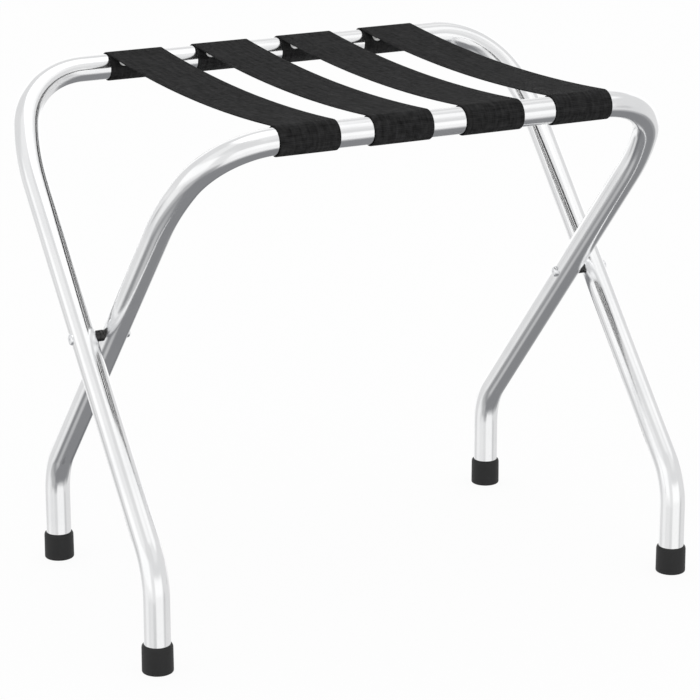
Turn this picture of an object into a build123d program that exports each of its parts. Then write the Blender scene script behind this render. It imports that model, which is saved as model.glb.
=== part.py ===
from build123d import *
from math import acos, asin, atan2, cos, degrees, hypot, radians, sin, sqrt, tan
import os

# Folding luggage rack: two crossed tube frames, four webbing straps.
# Millimetres, +Z up, +X along the rails, +Y to the back, floor at Z = 0.

# Tube
tube_d = 25.0
tube_wall = 1.2

# Open rack
outer_leg_spacing = 557.5
rail_spacing = 379.0
foot_spacing = 319.0
rail_height = 491.1
knee_height = 96.1
pivot_gap = 6.0

# Bends: a corner turns on its main radius, then eases into the leg
corner_radius = 75.7
ease_radius = 252.0
ease_angle = 15.0
knee_radius = 70.0

# Rubber feet
foot_wall = 2.2
foot_height = 27.2
foot_floor = 3.0
foot_rim = 2.0
foot_edge = 1.5

# Pivot bolts
pin_d = 6.0
head_d = 10.5
head_height = 2.0
nut_height = 3.0
nut_wall = 1.2
spacer_d = 10.8
washer_d = 10.9
washer_crest = 0.4

# Webbing straps, spread evenly; the end ones reach a little onto the corner bends
strap_count = 4
strap_width = 59.5
strap_overrun = 4.1
strap_thickness = 1.3
strap_sag = 8.4

# Rivets, a pair in each strap's loop, set on the side that faces the other rail
rivet_d = 9.5
rivet_height = 2.0
rivet_rim = 0.4
rivet_shank = 4.0
rivet_inset = 13.0
rivet_angle = 64.0

# Clearances
loop_clear = 0.3
pin_clear = 0.05
seat_clear = 0.05
foot_clear = 0.05
face_clear = 0.1

tube_r = tube_d / 2
inner_leg_spacing = outer_leg_spacing - 2 * (tube_d + pivot_gap)
rail_y = rail_spacing / 2
foot_y = foot_spacing / 2
leg_run = rail_y + foot_y
leg_drop = rail_height - knee_height
leg_length = hypot(leg_run, leg_drop)
leg_tilt = atan2(leg_run, leg_drop)
pivot_z = rail_height - rail_y * leg_drop / leg_run
foot_bore = tube_d + 2 * foot_clear
foot_d = foot_bore + 2 * foot_wall
gap_x = outer_leg_spacing / 2 - tube_r - pivot_gap / 2
corner_angle = 90 - ease_angle
corner_share = sin(radians(corner_angle))
rail_reach = corner_radius * corner_share + ease_radius * (1 - corner_share)
rail_straight = inner_leg_spacing - 2 * rail_reach
strap_pitch = (rail_straight + 2 * strap_overrun - strap_width) / (strap_count - 1)


def turn(start, along, inward, radius, angle):
    # One arc of a bend, with the point and direction it ends on.
    a = radians(angle)
    centre = start + inward * radius
    middle = centre - inward * (radius * cos(a / 2)) + along * (radius * sin(a / 2))
    end = centre - inward * (radius * cos(a)) + along * (radius * sin(a))
    leaves = along * cos(a) + inward * sin(a)
    return ThreePointArc(start, middle, end), end, leaves


def half_path(spacing):
    # Centre line from the middle of the back rail down the right leg to the floor end.
    m = radians(corner_angle)
    leg_way = Vector(0, -sin(leg_tilt), -cos(leg_tilt))
    middle = Vector(0, rail_y, rail_height)
    bend = Vector(spacing / 2 - rail_reach, rail_y, rail_height)
    rail = Line(middle, bend)
    corner, p, along = turn(bend, Vector(1, 0, 0), leg_way, corner_radius, corner_angle)
    inward = leg_way * cos(m) - Vector(1, 0, 0) * sin(m)
    ease, p, along = turn(p, along, inward, ease_radius, ease_angle)
    knee_reach = knee_radius * tan(leg_tilt / 2)
    knee_start = Vector(spacing / 2, -foot_y, knee_height) - leg_way * knee_reach
    leg = Line(p, knee_start)
    inside = Vector(0, cos(leg_tilt), -sin(leg_tilt))
    knee, p, along = turn(knee_start, leg_way, inside, knee_radius, degrees(leg_tilt))
    foot = Line(p, Vector(spacing / 2, -foot_y, foot_floor))
    return [rail, corner, ease, leg, knee, foot]


def frame_tube(spacing):
    # One bent tube with its rail at the back and its feet at the front, drilled for the pivot.
    path = Wire(half_path(spacing))
    ring = Circle(tube_r) - Circle(tube_r - tube_wall)
    section = Plane.YZ * Pos(rail_y, rail_height) * ring
    half = sweep(section, path=path)
    tube = half + mirror(half, about=Plane.YZ)
    drill = Pos(0, 0, pivot_z) * Rot(0, 90, 0) * Cylinder(pin_d / 2 + pin_clear, spacing + 2 * tube_d)
    return tube - drill


def foot_cap(x, y):
    # Rubber cup pushed on a tube end.
    cup = extrude(Circle(foot_d / 2), foot_height)
    cup = fillet(cup.edges().group_by(Axis.Z)[-1], min(foot_rim, 0.95 * foot_wall))
    cup = fillet(cup.edges().group_by(Axis.Z)[0], min(foot_edge, 0.75 * foot_floor))
    bore = Pos(0, 0, foot_floor) * extrude(Circle(foot_bore / 2), foot_height)
    return Pos(x, y, 0) * (cup - bore)


def leg_at_pivot(x, side):
    # Outside of a leg at the pivot, with its seat clearance; side is +1 with the rail at the back.
    rod = Cylinder(tube_r + seat_clear, leg_length)
    return Pos(x, 0, pivot_z) * Rot(-side * degrees(leg_tilt), 0, 0) * rod


def disc(x0, x1, diameter):
    # Round bar along X on the pivot axis.
    return Pos((x0 + x1) / 2, 0, pivot_z) * Rot(0, 90, 0) * Cylinder(diameter / 2, x1 - x0)


def dome(diameter, height):
    # Slice of a ball with its flat face at Z = 0.
    ball = (diameter ** 2 / 4 + height ** 2) / (2 * height)
    return Pos(0, 0, height - ball) * Sphere(ball) & Pos(0, 0, height / 2) * Cylinder(diameter, height)


def pivot_head(x, way, height):
    # Domed head on the pivot axis with its flat face at x.
    return Pos(x, 0, pivot_z) * Rot(0, way * 90, 0) * dome(head_d, height)


outer_x = outer_leg_spacing / 2
inner_x = inner_leg_spacing / 2
head_x = outer_x + tube_r + washer_crest
nut_x = inner_x - tube_r - washer_crest - face_clear
pin_bore = pin_d + 2 * pin_clear
pin_end = nut_x - nut_height + nut_wall


def pivot_bolt():
    # Domed bolt through both legs of the right side.
    return pivot_head(head_x, 1, head_height) + disc(pin_end, head_x, pin_d)


def cap_nut():
    # Domed nut on the inner end of the bolt.
    return pivot_head(nut_x, -1, nut_height) - disc(pin_end, nut_x + washer_crest, pin_d)


def saddle(x_leg, x_face, diameter, side):
    # Washer hollowed to sit on a leg, flat on its other face.
    body = disc(min(x_leg, x_face), max(x_leg, x_face), diameter)
    return body - leg_at_pivot(x_leg, side) - disc(inner_x - tube_d, head_x, pin_bore)


loop_in = tube_r + loop_clear
loop_out = loop_in + strap_thickness
sag_reach = (rail_y ** 2 + strap_sag ** 2) / (2 * strap_sag)
sag_z = rail_height + sag_reach - strap_sag
sag_angle = degrees(asin(rail_y / sag_reach))
span_under = sag_reach - loop_in
rivet_x = strap_width / 2 - rivet_inset


def on_loop(x):
    # Middle of the back rail at x, turned so that Z points out through a rivet.
    return Pos(x, rail_y, rail_height) * Rot(rivet_angle, 0, 0)


def rivet(x):
    # Domed cap hollowed to sit on the loop, with a shank through the webbing.
    top = loop_out + rivet_rim
    low = sqrt(loop_out ** 2 - rivet_d ** 2 / 4)
    cap = Pos(0, 0, (low + top) / 2) * Cylinder(rivet_d / 2, top - low)
    cap = cap + Pos(0, 0, top) * dome(rivet_d, rivet_height)
    cap = cap - Rot(0, 90, 0) * Cylinder(loop_out + seat_clear, 2 * rivet_d)
    shank = Pos(0, 0, (loop_in + top) / 2) * Cylinder(rivet_shank / 2, top - loop_in)
    return on_loop(x) * (cap + shank)


def rivet_hole(x):
    # Hole for a rivet's shank.
    middle = Pos(0, 0, (loop_in + loop_out) / 2)
    return on_loop(x) * middle * Cylinder(rivet_shank / 2 + pin_clear, 2 * strap_thickness)


def strap_half(x):
    # Rear half of a strap: sagging span and a closed loop round the rail.
    cosine = (sag_reach ** 2 + loop_out ** 2 - span_under ** 2) / (2 * sag_reach * loop_out)
    over_top = CenterArc((0, sag_z), span_under - strap_thickness, 270, sag_angle)
    round_rail = CenterArc((rail_y, rail_height), loop_out, 90 + sag_angle, degrees(acos(cosine)) - 360)
    meet = round_rail @ 1
    back_under = CenterArc((0, sag_z), span_under, 270, degrees(atan2(meet.X, sag_z - meet.Y)))
    fold = Line(over_top @ 0, back_under @ 0)
    outline = make_face([over_top, round_rail, back_under, fold])
    section = outline - Pos(rail_y, rail_height) * Circle(loop_in)
    half = extrude(Plane.YZ.offset(x) * section, strap_width / 2, both=True)
    return half - rivet_hole(x - rivet_x) - rivet_hole(x + rivet_x)


def save(name, shape):
    export_step(shape, "parts/" + name + ".step")


os.makedirs("parts", exist_ok=True)

save("outer_frame_tube", frame_tube(outer_leg_spacing))
save("inner_frame_tube", mirror(frame_tube(inner_leg_spacing), about=Plane.XZ))

right = {
    "outer_foot": foot_cap(outer_x, -foot_y),
    "inner_foot": foot_cap(inner_x, foot_y),
    "pivot_bolt": pivot_bolt(),
    "cap_nut": cap_nut(),
    "outer_spacer": saddle(outer_x, gap_x + face_clear / 2, spacer_d, 1),
    "inner_spacer": saddle(inner_x, gap_x - face_clear / 2, spacer_d, -1),
    "head_washer": saddle(outer_x, head_x, washer_d, 1),
    "nut_washer": saddle(inner_x, nut_x + face_clear, washer_d, -1),
}
for name, shape in right.items():
    save(name + "_right", shape)
    save(name + "_left", mirror(shape, about=Plane.YZ))

for i in range(strap_count):
    x = (i - (strap_count - 1) / 2) * strap_pitch
    rear = {
        "strap_" + str(i + 1): strap_half(x),
        "rivet_" + str(i + 1) + "_left": rivet(x - rivet_x),
        "rivet_" + str(i + 1) + "_right": rivet(x + rivet_x),
    }
    for name, shape in rear.items():
        save("rear_" + name, shape)
        save("front_" + name, mirror(shape, about=Plane.XZ))
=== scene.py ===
import math

import bmesh
import bpy
from mathutils import Matrix, Vector


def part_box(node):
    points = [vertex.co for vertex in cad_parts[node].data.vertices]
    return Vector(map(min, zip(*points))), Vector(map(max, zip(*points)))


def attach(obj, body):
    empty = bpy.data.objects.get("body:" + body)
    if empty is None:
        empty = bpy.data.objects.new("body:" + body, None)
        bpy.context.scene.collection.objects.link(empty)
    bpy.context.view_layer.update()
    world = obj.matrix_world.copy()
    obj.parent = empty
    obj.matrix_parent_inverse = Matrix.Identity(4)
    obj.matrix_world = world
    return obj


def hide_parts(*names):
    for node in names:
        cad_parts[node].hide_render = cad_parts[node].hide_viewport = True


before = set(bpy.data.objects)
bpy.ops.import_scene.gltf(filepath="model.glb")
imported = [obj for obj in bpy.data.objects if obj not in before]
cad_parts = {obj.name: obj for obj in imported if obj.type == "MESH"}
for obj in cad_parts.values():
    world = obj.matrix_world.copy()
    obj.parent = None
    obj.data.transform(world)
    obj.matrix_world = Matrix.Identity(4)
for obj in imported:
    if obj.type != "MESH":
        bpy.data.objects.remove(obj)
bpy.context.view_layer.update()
mm = 0.001
noiseMean = 0.5
print("rack frame loaded,", len(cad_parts), "nodes")


# Shader trees

class Tone:  # one socket, so that shader sums read as sums
    def __init__(self, tree, socket):
        self.tree = tree
        self.socket = socket

    def maths(self, operation, first, second):
        return self.tree.add("Math", {"operation": operation}, {0: first, 1: second})

    def __add__(self, other):
        return self.maths("ADD", self, other)

    def __radd__(self, other):
        return self.maths("ADD", other, self)

    def __sub__(self, other):
        return self.maths("SUBTRACT", self, other)

    def __rsub__(self, other):
        return self.maths("SUBTRACT", other, self)

    def __mul__(self, other):
        return self.maths("MULTIPLY", self, other)

    def __rmul__(self, other):
        return self.maths("MULTIPLY", other, self)

    def __truediv__(self, other):
        return self.maths("DIVIDE", self, other)

    def __pow__(self, other):
        return self.maths("POWER", self, other)


class Tree:  # the nodes of one finish
    def __init__(self, owner):
        owner.use_nodes = True
        self.nodes = owner.node_tree.nodes
        self.links = owner.node_tree.links
        self.nodes.clear()

    def add(self, kind, settings, sockets, output=0):
        node = self.nodes.new("ShaderNode" + kind)
        for name, value in settings.items():
            setattr(node, name, value)
        for name, value in sockets.items():
            if isinstance(value, Tone):
                self.links.new(value.socket, node.inputs[name])
            else:
                node.inputs[name].default_value = value
        if output is None:
            return node
        return Tone(self, node.outputs[output])

    def noise(self, place, scale, detail=2.0):
        return self.add("TexNoise", {}, {"Vector": place, "Scale": scale, "Detail": detail}, "Fac")

    def stretch(self, place, size):
        return self.add("Mapping", {}, {"Vector": place, "Scale": size})

    def wrapped(self, across, along):  # place for noise that closes on itself round a turned piece
        skin = self.add("UVMap", {"uv_map": "skin"}, {})
        turn = self.add("SeparateXYZ", {}, {"Vector": skin}, "X") * (2 * math.pi)
        length = self.add("SeparateXYZ", {}, {"Vector": skin}, "Y")
        aside = self.add("Math", {"operation": "COSINE"}, {0: turn}) * across
        ahead = self.add("Math", {"operation": "SINE"}, {0: turn}) * across
        return self.add("CombineXYZ", {}, {"X": aside, "Y": ahead, "Z": length * along})

    def remap(self, value, low, high):  # smooth step from 0 at low to 1 at high
        sockets = {"Value": value, "From Min": low, "From Max": high}
        return self.add("MapRange", {"interpolation_type": "SMOOTHSTEP"}, sockets)

    def colour(self, factor, first, second):
        return self.add("Mix", {"data_type": "RGBA"}, {0: factor, 6: (*first, 1), 7: (*second, 1)}, 2)

    def bump(self, height, strength, depth):
        return self.add("Bump", {}, {"Height": height, "Strength": strength, "Distance": depth})

    def sumUp(self, value):
        return self.add("Math", {"operation": "ADD", "use_clamp": True}, {0: value, 1: 0.0})

    def ray(self, kind):
        return self.add("LightPath", {}, {}, kind)

    def surface(self, sockets):
        shader = self.add("BsdfPrincipled", {}, sockets)
        self.add("OutputMaterial", {}, {"Surface": shader}, None)


def newFinish(name):
    material = bpy.data.materials.new(name)
    return material, Tree(material)


def chromeFinish(name, look):
    material, tree = newFinish(name)
    place = tree.add("TexCoord", {}, {}, "Object")
    cloud = tree.noise(place, look["cloudScale"], 3.0)
    peel = tree.noise(place, look["peelScale"], 1.0)
    lines = tree.noise(tree.wrapped(look["lineAcross"], look["lineAlong"]), 1.0, 2.0)
    haze = tree.remap(cloud, *look["hazeSpan"])
    rough = look["rough"] + look["haze"] * haze + look["lineRough"] * lines
    normal = tree.bump(peel + look["lineShare"] * lines, look["bump"], look["bumpDepth"])
    tree.surface({
        "Base Color": tree.colour(haze, look["bright"], look["dull"]),
        "Metallic": 1.0,
        "Roughness": rough,
        "Normal": normal,
    })
    return material


def rubberFinish(look):
    material, tree = newFinish("footRubber")
    place = tree.add("TexCoord", {}, {}, "Object")
    blotch = tree.noise(place, look["blotchScale"], 4.0)
    grain = tree.noise(place, look["grainScale"], 2.0)
    height = tree.add("SeparateXYZ", {}, {"Vector": place}, "Z")
    scuff = tree.remap(height, look["scuffTop"], 0.0) * tree.remap(blotch, *look["scuffSpan"])
    streak = tree.noise(tree.wrapped(look["streakAcross"], look["streakAlong"]), 1.0, 2.0)
    shade = tree.sumUp(look["blotchShare"] * blotch + look["scuffShare"] * scuff)
    tree.surface({
        "Base Color": tree.colour(shade, look["dark"], look["pale"]),
        "Roughness": look["rough"] + look["roughSpread"] * (blotch - noiseMean) + look["scuffRough"] * scuff,
        "Specular IOR Level": look["gloss"],
        "Normal": tree.bump(grain + look["streakShare"] * streak, look["bump"], look["bumpDepth"]),
    })
    return material


def plasticFinish(look):
    material, tree = newFinish("spacerPlastic")
    place = tree.add("TexCoord", {}, {}, "Object")
    blotch = tree.noise(place, look["blotchScale"], 3.0)
    grain = tree.noise(place, look["grainScale"], 2.0)
    tree.surface({
        "Base Color": tree.colour(blotch, look["dark"], look["pale"]),
        "Roughness": look["rough"] + look["roughSpread"] * (blotch - noiseMean),
        "Specular IOR Level": look["gloss"],
        "Normal": tree.bump(grain, look["bump"], look["bumpDepth"]),
    })
    return material


def webbingFinish(look):
    material, tree = newFinish("strapWebbing")
    skin = tree.add("UVMap", {"uv_map": "skin"}, {})
    across = tree.add("SeparateXYZ", {}, {"Vector": skin}, "X")
    along = tree.add("SeparateXYZ", {}, {"Vector": skin}, "Y")
    warp = across / look["warpPitch"] + look["firstRow"]
    weft = along / look["weftPitch"] + look["firstRow"]
    warpRow = tree.add("Math", {"operation": "FLOOR"}, {0: warp})
    weftRow = tree.add("Math", {"operation": "FLOOR"}, {0: weft})
    over = tree.add("Math", {"operation": "MODULO"}, {0: warpRow + weftRow, 1: 2.0})
    warpCrown = 1.0 - (2.0 * (warp - warpRow) - 1.0) ** 2.0  # round across a lengthwise yarn
    weftCrown = 1.0 - (2.0 * (weft - weftRow) - 1.0) ** 2.0
    lengthwise = warpCrown * (look["dip"] + (1.0 - look["dip"]) * weftCrown)
    crosswise = weftCrown * (look["dip"] + (1.0 - look["dip"]) * warpCrown)
    weave = over * lengthwise + (1.0 - over) * crosswise
    yarn = tree.noise(tree.stretch(skin, look["yarnStretch"]), 1.0, 2.0)
    pick = tree.noise(tree.stretch(skin, look["pickStretch"]), 1.0, 2.0)
    blotch = tree.noise(tree.stretch(skin, look["blotchStretch"]), 1.0, 3.0)
    uneven = look["yarnShade"] * (yarn + pick - look["yarnLevel"]) + (blotch - look["blotchLevel"])
    # the weave term is painted shade, darkening the dips between yarn crowns; yarn, pick and blotch noise
    # give the webbing's own uneven tone
    shade = tree.sumUp(look["weaveDipPaintedShade"] * weave + uneven)
    relief = weave + look["yarnBump"] * yarn + look["blotchBump"] * blotch
    tree.surface({
        "Base Color": tree.colour(shade, look["dark"], look["pale"]),
        "Roughness": look["rough"] - look["roughSpread"] * (yarn - noiseMean) - look["weaveRough"] * weave,
        "Specular IOR Level": look["gloss"],
        "Sheen Weight": look["sheen"],
        "Sheen Roughness": look["sheenRough"],
        "Normal": tree.bump(relief, look["bump"], look["bumpDepth"]),
    })
    return material


tubeChrome = chromeFinish("tubeChrome", {
    "bright": (0.955, 0.957, 0.96),
    "dull": (0.915, 0.919, 0.926),
    "rough": 0.14,
    "haze": 0.03,
    "hazeSpan": (0.35, 0.75),
    "lineRough": 0.02,
    "cloudScale": 26.0,               # per metre
    "peelScale": 240.0,
    "lineAcross": 32.0,               # polishing lines run down the tube
    "lineAlong": 22.0,
    "lineShare": 0.06,
    "bump": 0.008,
    "bumpDepth": 0.2 * mm,
})
hardwareChrome = chromeFinish("hardwareChrome", {
    "bright": (0.93, 0.935, 0.945),
    "dull": (0.86, 0.868, 0.885),
    "rough": 0.06,
    "haze": 0.05,
    "hazeSpan": (0.35, 0.75),
    "lineRough": 0.03,
    "cloudScale": 180.0,
    "peelScale": 900.0,
    "lineAcross": 0.35,               # turning marks run round the head
    "lineAlong": 5200.0,
    "lineShare": 0.4,
    "bump": 0.04,
    "bumpDepth": 0.1 * mm,
})
rivetNickel = chromeFinish("rivetNickel", {
    "bright": (0.6, 0.598, 0.59),
    "dull": (0.46, 0.458, 0.45),
    "rough": 0.22,
    "haze": 0.1,
    "hazeSpan": (0.35, 0.75),
    "lineRough": 0.05,
    "cloudScale": 220.0,
    "peelScale": 900.0,
    "lineAcross": 0.35,
    "lineAlong": 4200.0,
    "lineShare": 0.3,
    "bump": 0.05,
    "bumpDepth": 0.1 * mm,
})
footRubber = rubberFinish({
    "dark": (0.014, 0.0142, 0.0145),
    "pale": (0.03, 0.03, 0.03),
    "rough": 0.58,
    "roughSpread": 0.2,
    "gloss": 0.35,
    "blotchScale": 140.0,
    "grainScale": 2600.0,
    "streakAcross": 7.4,
    "streakAlong": 90.0,
    "scuffTop": 7.0 * mm,             # scuffs fade out at this height
    "scuffSpan": (0.45, 0.7),
    "scuffShare": 0.6,
    "scuffRough": 0.12,
    "blotchShare": 0.5,
    "streakShare": 0.4,
    "bump": 0.22,
    "bumpDepth": 0.15 * mm,
})
spacerPlastic = plasticFinish({
    "dark": (0.002, 0.002, 0.0022),
    "pale": (0.007, 0.007, 0.0073),
    "rough": 0.2,
    "roughSpread": 0.12,
    "gloss": 0.6,
    "blotchScale": 300.0,
    "grainScale": 3500.0,
    "bump": 0.12,
    "bumpDepth": 0.08 * mm,
})
strapWebbing = webbingFinish({
    "dark": (0.004, 0.004, 0.0041),
    "pale": (0.042, 0.042, 0.0426),
    "rough": 0.82,
    "roughSpread": 0.25,
    "gloss": 0.03,
    "sheen": 0.004,
    "sheenRough": 0.45,
    "warpPitch": 1.25 * mm,
    "weftPitch": 1.6 * mm,
    "firstRow": 1000.0,               # keeps the row numbers above zero
    "dip": 0.35,                      # share of its height that a yarn keeps where it dips
    "yarnStretch": (480.0, 24.0, 1.0),
    "pickStretch": (34.0, 380.0, 1.0),
    "blotchStretch": (210.0, 150.0, 1.0),
    # painted shade: colour darkened in the dips between yarn crowns
    "weaveDipPaintedShade": 0.35,
    "weaveRough": 0.1,
    "yarnShade": 0.7,
    "yarnLevel": 0.72,
    "yarnBump": 0.5,
    "blotchLevel": 0.38,
    "blotchBump": 0.4,
    "bump": 0.55,
    "bumpDepth": 0.35 * mm,
})
print("finishes mixed: tube chrome, hardware chrome, rivet nickel, rubber, plastic, webbing")


# Mesh makers

tip = 0.3 * mm        # radius of the flat left at the middle of a turned end
crownStart = 88.5     # degrees, where a dome's outline starts beside its axis


def loft(rows, around, along, ringed=False):  # closed rings joined in order, and their skin map
    count = len(rows[0])
    verts = [point for row in rows for point in row]
    faces = []
    skin = []
    last = len(rows) if ringed else len(rows) - 1
    for i in range(last):
        j = (i + 1) % len(rows)
        for k in range(count):
            n = (k + 1) % count
            faces.append((i * count + k, i * count + n, j * count + n, j * count + k))
            skin += [(around[k], along[i]), (around[k + 1], along[i])]
            skin += [(around[k + 1], along[i + 1]), (around[k], along[i + 1])]
    if not ringed:
        for i in (0, len(rows) - 1):  # flat ends
            faces.append(tuple(i * count + k for k in range(count)))
            skin += [(around[k], along[i]) for k in range(count)]
    return verts, faces, skin


def makePiece(name, shape, finish, body, node, crease=35.0):  # node is the CAD node it stands for
    verts, faces, skin = shape
    mesh = bpy.data.meshes.new(name)
    mesh.from_pydata([tuple(point) for point in verts], [], faces)
    layer = mesh.uv_layers.new(name="skin")
    for corner, place in zip(layer.data, skin):
        corner.uv = place
    turned = bmesh.new()
    turned.from_mesh(mesh)
    bmesh.ops.recalc_face_normals(turned, faces=turned.faces)  # outward
    turned.to_mesh(mesh)
    turned.free()
    mesh.polygons.foreach_set("use_smooth", [True] * len(mesh.polygons))
    mesh.set_sharp_from_angle(angle=math.radians(crease))
    mesh.materials.append(finish)
    piece = bpy.data.objects.new(name, mesh)
    bpy.context.scene.collection.objects.link(piece)
    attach(piece, body)
    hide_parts(node)
    return piece


def arc(centre, radii, start, end, count):  # points of a round or oval stretch, angles in degrees
    points = []
    for i in range(count + 1):
        a = math.radians(start + (end - start) * i / count)
        points.append((centre[0] + radii[0] * math.cos(a), centre[1] + radii[1] * math.sin(a)))
    return points


def lengths(points):  # running length along a list of points
    total = [0.0]
    for first, second in zip(points, points[1:]):
        total.append(total[-1] + (Vector(second) - Vector(first)).length)
    return total


def turns(count):  # shares of one turn
    return [k / count for k in range(count + 1)]


def ringAngles(count):
    return [2 * math.pi * k / count for k in range(count)]


def turnedShape(profile, place, segments):  # (radius, height) points turned round an axis and placed
    rows = []
    for radius, height in profile:
        rows.append([place(radius * math.cos(a), radius * math.sin(a), height) for a in ringAngles(segments)])
    return loft(rows, turns(segments), lengths(profile))


# Frame tubes

tube = {
    "radius": 12.5 * mm,
    "cornerRadius": 75.7 * mm,
    "easeRadius": 252.0 * mm,   # the corner opens out into the leg
    "easeAngle": 15.0,
    "kneeHeight": 96.1 * mm,
    "kneeRadius": 70.0 * mm,
    "around": 96,
    "bendStep": 1.5,            # degrees
    "runStep": 18.0 * mm,
}
outerLow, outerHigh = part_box("outer_frame_tube")
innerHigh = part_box("inner_frame_tube")[1]
railY = outerHigh.y - tube["radius"]
railZ = outerHigh.z - tube["radius"]
footY = -outerLow.y - tube["radius"]
outerX = outerHigh.x - tube["radius"]
innerX = innerHigh.x - tube["radius"]
tubeEnd = outerLow.z
legTilt = math.atan2(railY + footY, railZ - tube["kneeHeight"])
pivotZ = railZ - railY / math.tan(legTilt)


def addRun(path, end):  # straight stretch
    start, way = path[-1]
    steps = max(1, round((end - start).length / tube["runStep"]))
    path += [(start.lerp(end, i / steps), way) for i in range(1, steps + 1)]


def addBend(path, inward, radius, angle):  # arc that starts along the path's last direction
    start, way = path[-1]
    centre = start + inward * radius
    steps = max(2, round(angle / tube["bendStep"]))
    for i in range(1, steps + 1):
        a = math.radians(angle * i / steps)
        point = centre - inward * (radius * math.cos(a)) + way * (radius * math.sin(a))
        path.append((point, way * math.cos(a) + inward * math.sin(a)))


def framePath(legX):  # rail at the back, feet at the front
    railWay = Vector((1, 0, 0))
    legWay = Vector((0, -math.sin(legTilt), -math.cos(legTilt)))
    mainTurn = 90 - tube["easeAngle"]
    m = math.radians(mainTurn)
    reach = tube["cornerRadius"] * math.sin(m) + tube["easeRadius"] * (1 - math.sin(m))
    half = [(Vector((0, railY, railZ)), railWay)]
    addRun(half, Vector((legX - reach, railY, railZ)))
    addBend(half, legWay, tube["cornerRadius"], mainTurn)
    addBend(half, legWay * math.cos(m) - railWay * math.sin(m), tube["easeRadius"], tube["easeAngle"])
    kneeReach = tube["kneeRadius"] * math.tan(legTilt / 2)
    addRun(half, Vector((legX, -footY, tube["kneeHeight"])) - legWay * kneeReach)
    kneeInward = Vector((0, math.cos(legTilt), -math.sin(legTilt)))
    addBend(half, kneeInward, tube["kneeRadius"], math.degrees(legTilt))
    addRun(half, Vector((legX, -footY, tubeEnd)))
    other = [(Vector((-p.x, p.y, p.z)), Vector((t.x, -t.y, -t.z))) for p, t in reversed(half[1:])]
    return other + half


def tubeShape(path):
    rows = []
    side = Vector((1, 0, 0))
    way = path[0][1]
    for point, nextWay in path:
        side.rotate(way.rotation_difference(nextWay))  # carried along without twist
        way = nextWay
        up = way.cross(side)
        ring = [math.cos(a) * side + math.sin(a) * up for a in ringAngles(tube["around"])]
        rows.append([point + tube["radius"] * out for out in ring])
    return loft(rows, turns(tube["around"]), lengths([point for point, way in path]))


def turnedRound(path):  # the same frame with its rail at the front
    return [(Vector((p.x, -p.y, p.z)), Vector((t.x, -t.y, t.z))) for p, t in path]


outerTube = makePiece("outerTube", tubeShape(framePath(outerX)), tubeChrome,
                      "outer_frame", "outer_frame_tube")
innerTube = makePiece("innerTube", tubeShape(turnedRound(framePath(innerX))), tubeChrome,
                      "inner_frame", "inner_frame_tube")
print("frame tubes bent, leg tilt", round(math.degrees(legTilt), 2))


# Rubber feet

foot = {
    "rim": (2.1 * mm, 3.6 * mm),   # rounding of the lip, in and down
    "edge": 1.5 * mm,
    "bore": 12.55 * mm,
    "lipDrop": 0.25 * mm,          # the lip's inner edge lies this far below its top
    "edgeSteps": 10,
    "rimSteps": 14,
    "draft": 0.1 * mm,
    "tread": 0.7 * mm,             # depth of the rings underneath
    "treadRings": [(3.4, 4.0), (6.0, 6.6), (8.6, 9.2)],  # mm, where each ring's slope starts and ends
    "segments": 96,
}


def footProfile(low, high):
    outside = (high.x - low.x) / 2
    top = high.z
    deep = foot["tread"]
    under = [(tip, deep)]
    for i, (first, second) in enumerate(foot["treadRings"]):
        raised = i % 2 == 0
        under += [(first * mm, deep if raised else 0.0), (second * mm, 0.0 if raised else deep)]
    edge = foot["edge"]
    rimIn, rimDown = foot["rim"]
    lip = outside - foot["draft"]
    wall = arc((outside - edge, edge), (edge, edge), -90, 0, foot["edgeSteps"])
    wall += arc((lip - rimIn, top - rimDown), (rimIn, rimDown), 0, 90, foot["rimSteps"])
    inside = [(foot["bore"], top - foot["lipDrop"]), (foot["bore"], tubeEnd), (tip, tubeEnd)]
    return under + wall + inside


for nodeStart, body in (("outer_foot", "outer_frame"), ("inner_foot", "inner_frame")):
    for hand in ("left", "right"):
        node = nodeStart + "_" + hand
        low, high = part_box(node)
        middle = (low + high) / 2
        shape = turnedShape(footProfile(low, high),
                            lambda x, y, z: Vector((middle.x + x, middle.y + y, z)), foot["segments"])
        pieceName = nodeStart.split("_")[0] + "Foot" + hand.title()
        makePiece(pieceName, shape, footRubber, body, node)
print("feet turned")


# Pivot hardware, on the right side and mirrored

pivot = {
    "pinRadius": 3.0 * mm,
    "headRadius": 5.25 * mm,
    "headHeight": 2.0 * mm,
    "nutHeight": 3.0 * mm,
    "headEdge": 0.35 * mm,        # rim under the dome
    "headInset": 0.1 * mm,        # how far the rim draws in at the flat face
    "domeSteps": 26,
    "boltReach": 1.8 * mm,        # how far the bolt goes into the nut
    "washerRadius": 5.45 * mm,
    "spacerRadius": 5.4 * mm,
    "seat": 0.05 * mm,            # clearance on the leg
    "round": 0.4 * mm,            # edge rounding of washers and spacers
    "roundAngles": (22, 45, 68, 90),
    "rimDown": 0.16 * mm,         # chamfer at the rim of the hollowed face
    "rimIn": 0.2 * mm,
    "hollowSteps": 5,
    "skinStep": 0.6 * mm,
    "endChamfer": 0.4 * mm,       # on the bolt's end
    "threadGap": 0.02 * mm,
    "segments": 72,
}


def domeProfile(height):  # from the crown down to the flat face
    radius = pivot["headRadius"]
    edge = pivot["headEdge"]
    points = arc((0.0, edge), (radius, height - edge), crownStart, 0.0, pivot["domeSteps"])
    return points + [(radius - pivot["headInset"], 0.0)]


def alongPivot(x0, way, sign):  # puts a turned piece on the pivot axis, its height running from x0
    return lambda x, y, z: Vector((sign * (x0 + way * z), x, pivotZ + y))


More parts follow.
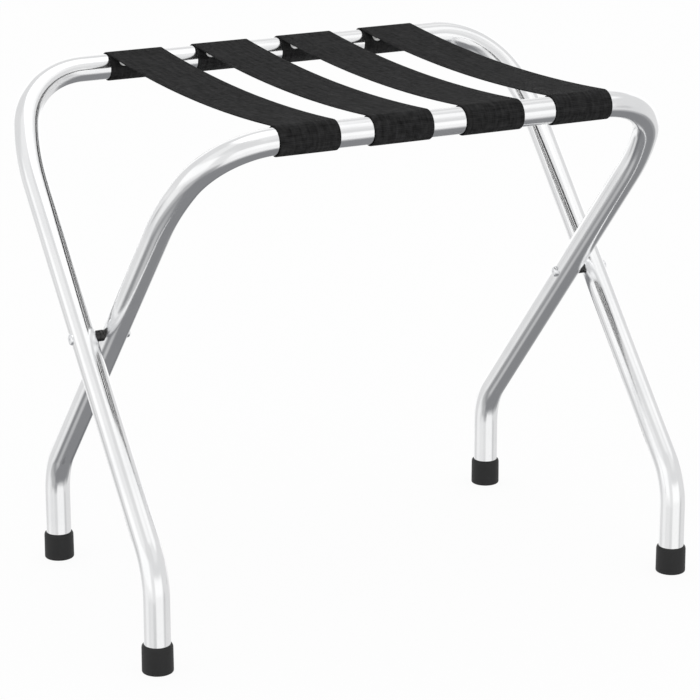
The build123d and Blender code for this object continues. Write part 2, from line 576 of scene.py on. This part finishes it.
def saddleShape(legX, faceX, radius, tiltSide, sign):  # washer with one face hollowed to the leg
    bore = pivot["pinRadius"] + pivot["seat"]
    edge = pivot["round"]
    legSide = 1 if faceX > legX else -1
    seatRadius = tube["radius"] + pivot["seat"]
    flat = radius - edge
    steps = pivot["hollowSteps"]
    stations = [(bore, 0.0, True), (flat, 0.0, True)]  # radius, depth below the face, on the flat face or not
    for bend in pivot["roundAngles"]:
        a = math.radians(bend)
        stations.append((flat + edge * math.sin(a), edge - edge * math.cos(a), True))
    stations += [(radius, pivot["rimDown"], False), (radius - pivot["rimIn"], 0.0, False)]
    stations += [(flat - (flat - bore) * i / steps, 0.0, False) for i in range(steps + 1)]
    rows = []
    for r, inset, onFace in stations:
        row = []
        for a in ringAngles(pivot["segments"]):
            y, z = r * math.cos(a), r * math.sin(a)
            off = y * math.cos(legTilt) - tiltSide * z * math.sin(legTilt)  # distance from the leg's line
            hollow = legX + legSide * (math.sqrt(seatRadius ** 2 - off ** 2) + inset)
            x = faceX - legSide * inset if onFace else hollow
            row.append(Vector((sign * x, y, pivotZ + z)))
        rows.append(row)
    along = [pivot["skinStep"] * i for i in range(len(rows) + 1)]
    return loft(rows, turns(pivot["segments"]), along, ringed=True)


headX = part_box("pivot_bolt_right")[1].x - pivot["headHeight"]
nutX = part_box("cap_nut_right")[1].x
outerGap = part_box("outer_spacer_right")[0].x
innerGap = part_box("inner_spacer_right")[1].x
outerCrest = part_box("head_washer_right")[1].x
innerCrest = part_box("nut_washer_right")[0].x
pin = pivot["pinRadius"]
chamfer = pivot["endChamfer"]
reach = pivot["boltReach"]
thread = pin + pivot["threadGap"]
pinEnd = nutX - reach - headX
shank = [(pin, 0.0), (pin, pinEnd + chamfer), (pin - chamfer, pinEnd), (tip, pinEnd)]
blind = [(thread, 0.0), (thread, reach), (tip, reach)]
boltProfile = domeProfile(pivot["headHeight"]) + shank
nutProfile = domeProfile(pivot["nutHeight"]) + blind

for hand, sign in (("left", -1), ("right", 1)):
    side = hand.title()
    bolt = turnedShape(boltProfile, alongPivot(headX, 1, sign), pivot["segments"])
    nut = turnedShape(nutProfile, alongPivot(nutX, -1, sign), pivot["segments"])
    for name, node, shape in (("pivotBolt", "pivot_bolt_", bolt), ("capNut", "cap_nut_", nut)):
        makePiece(name + side, shape, hardwareChrome, "outer_frame", node + hand)
    for name, node, legX, faceX, radius, tiltSide, finish, body, slot in (
        ("headWasher", "head_washer_", outerX, outerCrest, pivot["washerRadius"], 1,
         hardwareChrome, "outer_frame", "chrome_hardware"),
        ("nutWasher", "nut_washer_", innerX, innerCrest, pivot["washerRadius"], -1,
         hardwareChrome, "inner_frame", "chrome_hardware"),
        ("outerSpacer", "outer_spacer_", outerX, outerGap, pivot["spacerRadius"], 1,
         spacerPlastic, "outer_frame", "spacer_plastic"),
        ("innerSpacer", "inner_spacer_", innerX, innerGap, pivot["spacerRadius"], -1,
         spacerPlastic, "inner_frame", "spacer_plastic"),
    ):
        shape = saddleShape(legX, faceX, radius, tiltSide, sign)
        makePiece(name + side, shape, finish, body, node + hand)
print("pivot bolts, nuts, washers and spacers turned")


# Webbing straps, in two halves that meet half way between the rails

strap = {
    "count": 4,
    "thickness": 1.3 * mm,
    "sag": 8.4 * mm,
    "loopClear": 0.3 * mm,
    "tailGap": 0.06 * mm,        # tail's thinned end to the span above it
    "tailEnd": 16.0,             # degrees past the top of the rail
    "edge": 0.55 * mm,           # rounding of the woven edge
    "acrossSteps": 24,
    "edgeSteps": 5,
    "spanStep": 6.0 * mm,
    "loopStep": 3.0,             # degrees
}
thick = strap["thickness"]
loopIn = tube["radius"] + strap["loopClear"]
loopOut = loopIn + thick
sagReach = (railY ** 2 + strap["sag"] ** 2) / (2 * strap["sag"])
sagZ = railZ + sagReach - strap["sag"]
sagAngle = math.asin(railY / sagReach)
under = sagReach - loopIn           # radius of the span's underside about (0, sagZ)


def onArc(radius, angle):  # place on the sag's circle, and its outward direction
    way = Vector((0, math.sin(angle), -math.cos(angle)))
    return Vector((0, 0, sagZ)) + way * radius, way


def onLoop(radius, angle):
    way = Vector((0, math.cos(angle), math.sin(angle)))
    return Vector((0, railY, railZ)) + way * radius, way


def tailShare(angle):  # share of the thickness left on the loop where its tail runs out under the span
    past = angle + 1.5 * math.pi - sagAngle  # from where the span leaves the rail
    if past > math.pi / 2:
        return 1.0
    room = loopIn / math.cos(past) - loopIn - strap["tailGap"]
    return min(1.0, room / thick)


def strapLine():  # from mid span round the rail to the tail: middle, outer side, share of the thickness
    line = []
    steps = round(sagAngle * under / strap["spanStep"])
    for i in range(steps):
        point, way = onArc(under - thick / 2, sagAngle * i / steps)
        line.append((point, -way, 1.0))
    start = math.pi / 2 + sagAngle
    end = math.radians(strap["tailEnd"]) + sagAngle - 1.5 * math.pi
    steps = round(math.degrees(start - end) / strap["loopStep"])
    for i in range(steps + 1):
        angle = start + (end - start) * i / steps
        share = tailShare(angle)
        line.append((*onLoop(loopIn + share * thick / 2, angle), share))
    return line


def strapSection(width):  # (across, out) points of the webbing's section, both woven edges rounded
    r = strap["edge"]
    a, b = width / 2 - r, thick / 2 - r
    points = [(-a + 2 * a * i / strap["acrossSteps"], thick / 2) for i in range(strap["acrossSteps"])]
    points += arc((a, b), (r, r), 90, 0, strap["edgeSteps"])
    points += arc((a, -b), (r, r), 0, -90, strap["edgeSteps"])
    points += [(a - 2 * a * i / strap["acrossSteps"], -thick / 2) for i in range(1, strap["acrossSteps"])]
    points += arc((-a, -b), (r, r), 270, 180, strap["edgeSteps"])
    points += arc((-a, b), (r, r), 180, 90, strap["edgeSteps"])[:-1]
    return points


def strapShape(middleX, width, way):  # way is +1 for the rear half
    line = strapLine()
    section = strapSection(width)
    rows = []
    for point, out, share in line:
        place = Vector((middleX, way * point.y, point.z))
        lift = Vector((0, way * out.y, out.z)) * share
        rows.append([place + Vector((across, 0, 0)) + lift * height for across, height in section])
    around = [middleX + across for across, height in section]
    along = [way * length for length in lengths([point for point, out, share in line])]
    return loft(rows, around + around[:1], along), abs(along[-1])


rivet = {
    "radius": 4.75 * mm,
    "height": 2.0 * mm,
    "rim": 0.4 * mm,
    "lip": 0.12 * mm,            # rounding of the rim
    "crownSteps": 16,
    "shank": 2.0 * mm,
    "angle": 64.0,               # degrees from the top of the rail towards the other rail
    "seat": 0.05 * mm,
    "segments": 64,
}


def rivetProfile():  # (radius, distance from the rail's axis), crown to shank's end; None lies on the loop
    top = loopOut + rivet["rim"]
    radius, height, lip = rivet["radius"], rivet["height"], rivet["lip"]
    ball = (radius ** 2 + height ** 2) / (2 * height)
    spread = math.degrees(math.asin((radius - lip) / ball))
    crown = arc((0.0, top + height - ball), (ball, ball), crownStart, 90 - spread, rivet["crownSteps"])
    shank = [(rivet["shank"], None), (rivet["shank"], loopIn), (tip, loopIn)]
    return crown + [(radius, top - lip), (radius, None), (radius - lip, None)] + shank


def rivetShape(middleX, way):  # way is +1 on the rear rail
    a = math.radians(rivet["angle"])
    out = Vector((0, -way * math.sin(a), math.cos(a)))
    side = Vector((0, way * math.cos(a), math.sin(a)))
    axis = Vector((middleX, way * railY, railZ))
    rows = []
    for radius, height in rivetProfile():
        row = []
        for turn in ringAngles(rivet["segments"]):
            across = radius * math.cos(turn)
            aside = radius * math.sin(turn)
            rise = math.sqrt((loopOut + rivet["seat"]) ** 2 - aside ** 2) if height is None else height
            row.append(axis + Vector((across, 0, 0)) + side * aside + out * rise)
        rows.append(row)
    return loft(rows, turns(rivet["segments"]), lengths([row[0] for row in rows]))


for halfName, way, rail in (("rear", 1, outerTube), ("front", -1, innerTube)):
    for i in range(strap["count"]):
        node = halfName + "_strap_" + str(i + 1)
        low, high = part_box(node)
        middleX, width = (low.x + high.x) / 2, high.x - low.x
        shape, cut = strapShape(middleX, width, way)
        half = makePiece(halfName + "Strap" + str(i + 1), shape, strapWebbing,
                         halfName + "_straps", node, crease=50.0)
        for hand in ("left", "right"):
            rivetNode = halfName + "_rivet_" + str(i + 1) + "_" + hand
            rivetLow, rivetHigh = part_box(rivetNode)
            cap = rivetShape((rivetLow.x + rivetHigh.x) / 2, way)
            makePiece(halfName + "Rivet" + str(i + 1) + hand.title(), cap, rivetNickel,
                                    halfName + "_straps", rivetNode)
print("straps woven and riveted,", round(2 * cut / mm), "mm of webbing in each")


# Floor, surroundings, light and camera

floor = {
    "half": 9.0,                # metres
    "shade": 0.07,              # share of the floor that takes the object's shadow
    "colour": (0.95, 0.95, 0.95, 1),
}


def layFloor():
    h = floor["half"]
    mesh = bpy.data.meshes.new("floor")
    mesh.from_pydata([(-h, -h, 0), (h, -h, 0), (h, h, 0), (-h, h, 0)], [], [(0, 1, 2, 3)])
    material, tree = newFinish("floorPaper")
    seen = tree.ray("Is Camera Ray")
    mirrored = tree.ray("Is Glossy Ray") + tree.ray("Is Transmission Ray")
    paper = tree.add("BsdfDiffuse", {}, {"Color": floor["colour"]})
    white = tree.add("Emission", {}, {"Color": (1, 1, 1, 1), "Strength": 1.0})
    clear = tree.add("BsdfTransparent", {}, {})  # metal sees the surroundings through it
    lit = tree.add("MixShader", {}, {0: seen * (1.0 - floor["shade"]), 1: paper, 2: white})
    mixed = tree.add("MixShader", {}, {0: tree.sumUp(mirrored), 1: lit, 2: clear})
    tree.add("OutputMaterial", {}, {"Surface": mixed}, None)
    mesh.materials.append(material)
    plane = bpy.data.objects.new("floor", mesh)
    bpy.context.scene.collection.objects.link(plane)


studio = {
    "wall": 0.75,               # plain wall
    "white": 1.08,              # brightest tone
    "cool": (0.0, 0.004, 0.016),  # tint of the deepest greys
    "soft": 4.0,                # degrees
    "patches": [                # bearing from the back towards the right, half width, lowest, highest, tone
        (0.0, 200.0, 66.0, 100.0, 1.08),      # ceiling
        (126.0, 21.0, 37.0, 70.0, 1.02),
        (160.0, 20.0, 30.0, 62.0, 0.84),
        (170.0, 34.0, 57.0, 70.0, 1.04),
        (-94.0, 24.0, 22.0, 68.0, 0.88),
        (-138.0, 12.0, -20.0, 28.0, 0.82),
        (176.0, 32.0, -14.0, 12.0, 1.06),     # lit panels
        (-96.0, 31.0, -12.0, 26.0, 1.06),
        (27.0, 40.0, -16.0, 28.0, 1.08),
        (30.0, 6.0, 12.0, 24.0, 0.78),
        (14.0, 13.0, 26.0, 38.0, 1.0),
        (55.0, 12.0, 46.0, 64.0, 0.9),
        (176.0, 32.0, -42.0, -12.0, 0.96),    # their lower parts
        (-92.0, 36.0, -19.0, -10.0, 0.92),
        (-114.0, 13.0, -30.0, -17.0, 0.8),
        (-70.0, 16.0, -33.0, -14.0, 0.9),
        (5.0, 18.0, -40.0, -14.0, 1.02),
        (-34.0, 18.0, -31.0, -13.0, 0.76),
        (-38.0, 12.0, -11.0, 0.0, 0.84),
        (-42.0, 6.0, -16.0, -9.0, 0.42),
        (131.0, 8.0, -24.0, -10.0, 0.6),
        (0.0, 200.0, -100.0, -41.0, 0.24),    # ground
        (68.0, 38.0, -44.0, -34.0, 0.31),
        (39.0, 5.0, -34.0, -25.0, 0.35),
        (45.0, 7.0, -46.0, -31.0, 0.14),
        (128.0, 22.0, -43.0, -36.0, 0.46),
        (172.0, 22.0, -46.0, -39.0, 0.62),
        (14.0, 14.0, -47.0, -40.0, 0.48),
        (-140.0, 15.0, -42.0, -29.0, 0.33),
        (-140.0, 12.0, -30.0, -23.0, 0.46),
        (-112.0, 13.0, -49.0, -29.0, 0.48),
        (-82.0, 20.0, -49.0, -35.0, 0.48),
        (-84.0, 24.0, -62.0, -49.0, 0.32),
        (-36.0, 20.0, -47.0, -35.0, 0.74),
        (-22.0, 12.0, -35.0, -29.0, 0.42),
        (-46.0, 6.0, -42.0, -31.0, 0.88),
        (-15.0, 34.0, -58.0, -48.0, 0.165),
        (-80.0, 25.0, -76.0, -60.0, 0.43),
        (-68.0, 14.0, -74.0, -62.0, 0.54),
    ],
}


def setSurroundings():
    world = bpy.data.worlds.new("studio")
    bpy.context.scene.world = world
    tree = Tree(world)
    way = tree.add("TexCoord", {}, {}, "Generated")
    across = tree.add("SeparateXYZ", {}, {"Vector": way}, "X")
    back = tree.add("SeparateXYZ", {}, {"Vector": way}, "Y")
    rise = tree.add("SeparateXYZ", {}, {"Vector": way}, "Z")
    degree = 180 / math.pi
    level = tree.add("Math", {"operation": "ARCSINE"}, {0: rise}) * degree
    soft = studio["soft"]
    bright = studio["wall"]
    for bearing, spread, lowest, highest, tone in studio["patches"]:
        b = math.radians(bearing)
        ahead = across * math.sin(b) + back * math.cos(b)
        aside = across * math.cos(b) - back * math.sin(b)
        turn = tree.add("Math", {"operation": "ARCTAN2"}, {0: aside, 1: ahead}) * degree
        turn = tree.add("Math", {"operation": "ABSOLUTE"}, {0: turn})
        patch = tree.remap(turn, spread + soft, spread - soft)
        patch = patch * tree.remap(level, highest + soft, highest - soft)
        patch = patch * tree.remap(level, lowest - soft, lowest + soft)
        bright = bright + (tone - bright) * patch
    white = studio["white"]
    tone = tree.colour(bright / white, studio["cool"], (white, white, white))
    seen = tree.ray("Is Camera Ray") + tree.ray("Is Transmission Ray")
    shown = tree.add("Mix", {"data_type": "RGBA"}, {0: tree.sumUp(seen), 6: tone, 7: (1, 1, 1, 1)}, 2)
    sky = tree.add("Background", {}, {"Color": shown, "Strength": 1.0})
    tree.add("OutputWorld", {}, {"Surface": sky}, None)


overhead = {
    "height": 2.4,              # metres
    "size": 1.7,
    "radiance": 0.25,
}


def hangLamp():
    data = bpy.data.lights.new("overhead", "AREA")
    data.shape = "SQUARE"
    data.size = overhead["size"]
    data.energy = overhead["radiance"] * math.pi * overhead["size"] ** 2
    lamp = bpy.data.objects.new("overhead", data)
    lamp.location = (0, 0, overhead["height"])
    bpy.context.scene.collection.objects.link(lamp)


camera = {
    "lens": 152.0,              # mm
    "sensor": 36.0,
    "clipEnd": 100.0,           # metres
    "place": (-1.266869, -2.473881, 1.060266),
    "bearing": 27.145,          # degrees from +Y towards +X
    "down": 16.706,
    "roll": -0.117,
}


def setCamera():
    data = bpy.data.cameras.new("camera")
    data.lens = camera["lens"]
    data.sensor_width = camera["sensor"]
    data.clip_end = camera["clipEnd"]
    eye = bpy.data.objects.new("camera", data)
    turn = Matrix.Rotation(-math.radians(camera["bearing"]), 4, "Z")
    tilt = Matrix.Rotation(math.radians(90 - camera["down"]), 4, "X")
    roll = Matrix.Rotation(math.radians(camera["roll"]), 4, "Z")
    eye.matrix_world = Matrix.Translation(camera["place"]) @ turn @ tilt @ roll
    bpy.context.scene.collection.objects.link(eye)
    bpy.context.scene.camera = eye


layFloor()
setSurroundings()
hangLamp()
setCamera()
bpy.context.scene.view_settings.view_transform = "Standard"
print("floor, surroundings, lamp and camera set")
